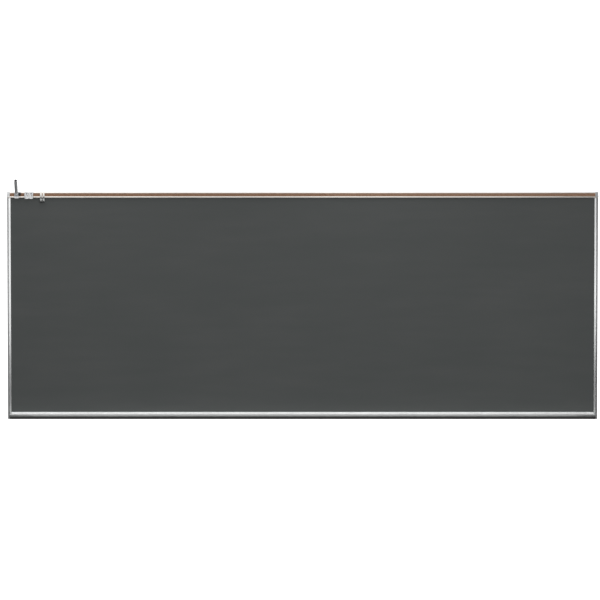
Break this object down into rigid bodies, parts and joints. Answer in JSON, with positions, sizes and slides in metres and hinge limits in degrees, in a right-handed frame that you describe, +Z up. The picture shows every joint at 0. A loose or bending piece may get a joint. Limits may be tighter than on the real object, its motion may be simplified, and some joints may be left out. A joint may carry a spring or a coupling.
{
  "type": "wall chalkboard",
  "caption": "Long wall-hung chalkboard with aluminium trims, cork map rail, chalk tray, and a flag holder, map roller brackets and sprung map clips that slide on the rail",
  "frame": {"origin": "on the wall plane, at the middle of the wall fixings, which is the middle of the board's back", "axes": "+X right along the board as seen from the front, +Y into the wall, +Z up"},
  "size_m": [3.0636, 0.1297, 1.2527],
  "materials": {
    "slate_enamel": "matte",
    "fibreboard": "matte",
    "foil_backer": "satin",
    "satin_aluminium": "satin",
    "cork": "matte",
    "grey_casting": "satin",
    "galvanised_steel": "satin",
    "bright_steel": "satin",
    "satin_chrome": "satin",
    "nickel": "polished",
    "black_plastic": "satin",
    "black_vinyl": "satin"
  },
  "bodies": {
    "board": {"panel_backer": "foil_backer", "panel_core": "fibreboard", "writing_surface": "slate_enamel", "left_side_trim": "satin_aluminium", "right_side_trim": "satin_aluminium", "map_rail": "satin_aluminium", "cork_strip_left": "cork", "cork_strip_right": "cork", "chalk_tray": "satin_aluminium", "tray_end_cap_left": "grey_casting", "tray_end_cap_right": "grey_casting", "rail_end_stop_left": "grey_casting", "rail_end_stop_right": "grey_casting", "corner_plate_top_left": "galvanised_steel", "corner_plate_top_right": "galvanised_steel", "corner_plate_bottom_left": "galvanised_steel", "corner_plate_bottom_right": "galvanised_steel", "corner_screws": "galvanised_steel", "end_cap_screws": "nickel", "end_stop_screws": "nickel", "wall_hanger_1": "galvanised_steel", "wall_hanger_2": "galvanised_steel", "wall_hanger_3": "galvanised_steel", "wall_hanger_4": "galvanised_steel", "bottom_clip_1": "galvanised_steel", "bottom_clip_2": "galvanised_steel", "bottom_clip_3": "galvanised_steel", "bottom_clip_4": "galvanised_steel"},
    "flag_holder": {"flag_bracket": "bright_steel", "flag_tube": "satin_chrome"},
    "staff_clamp": {"staff_screw": "nickel", "staff_knob": "black_plastic"},
    "left_roller_bracket": {"roller_bracket_left": "bright_steel"},
    "left_clamp_screw": {"clamp_screw_left": "nickel"},
    "right_roller_bracket": {"roller_bracket_right": "bright_steel"},
    "right_clamp_screw": {"clamp_screw_right": "nickel"},
    "left_map_clip": {"map_hook_left": "bright_steel", "hook_rivet_left": "nickel", "rear_jaw_left": "bright_steel", "jaw_pin_left": "nickel", "jaw_spring_left": "nickel", "rear_tip_left": "black_vinyl"},
    "left_jaw": {"front_jaw_left": "bright_steel", "front_tip_left": "black_vinyl"},
    "right_map_clip": {"map_hook_right": "bright_steel", "hook_rivet_right": "nickel", "rear_jaw_right": "bright_steel", "jaw_pin_right": "nickel", "jaw_spring_right": "nickel", "rear_tip_right": "black_vinyl"},
    "right_jaw": {"front_jaw_right": "bright_steel", "front_tip_right": "black_vinyl"}
  },
  "joints": [
    {"name": "flag_holder_slide", "type": "slide", "parent": "board", "child": "flag_holder", "axis": [1, 0, 0], "range_m": [-0.024, 0.019]},
    {"name": "staff_clamp_turn", "type": "hinge", "parent": "flag_holder", "child": "staff_clamp", "pos_m": [-1.465, -0.04991, 0.58241], "axis": [1, 0, 0], "range_deg": [0, 720]},
    {"name": "left_roller_bracket_slide", "type": "slide", "parent": "board", "child": "left_roller_bracket", "axis": [1, 0, 0], "range_m": [-0.019, 0.0015]},
    {"name": "left_clamp_screw_turn", "type": "hinge", "parent": "left_roller_bracket", "child": "left_clamp_screw", "pos_m": [-1.4275, -0.0398, 0.5836], "axis": [0, -1, 0], "range_deg": [0, 540]},
    {"name": "right_roller_bracket_slide", "type": "slide", "parent": "board", "child": "right_roller_bracket", "axis": [1, 0, 0], "range_m": [-0.0015, 0.0345]},
    {"name": "right_clamp_screw_turn", "type": "hinge", "parent": "right_roller_bracket", "child": "right_clamp_screw", "pos_m": [-1.4045, -0.0398, 0.5836], "axis": [0, -1, 0], "range_deg": [0, 540]},
    {"name": "left_map_clip_slide", "type": "slide", "parent": "board", "child": "left_map_clip", "axis": [1, 0, 0], "range_m": [-0.0345, 0.0025]},
    {"name": "left_jaw_open", "type": "hinge", "parent": "left_map_clip", "child": "left_jaw", "pos_m": [-1.3535, -0.0445, 0.554], "axis": [-1, 0, 0], "range_deg": [0, 28], "stiffness_Nm_per_rad": 0.05, "springref_deg": -28.65},
    {"name": "right_map_clip_slide", "type": "slide", "parent": "board", "child": "right_map_clip", "axis": [1, 0, 0], "range_m": [-0.0025, 2.8495]},
    {"name": "right_jaw_open", "type": "hinge", "parent": "right_map_clip", "child": "right_jaw", "pos_m": [-1.34, -0.0445, 0.554], "axis": [-1, 0, 0], "range_deg": [0, 28], "stiffness_Nm_per_rad": 0.05, "springref_deg": -28.65}
  ]
}
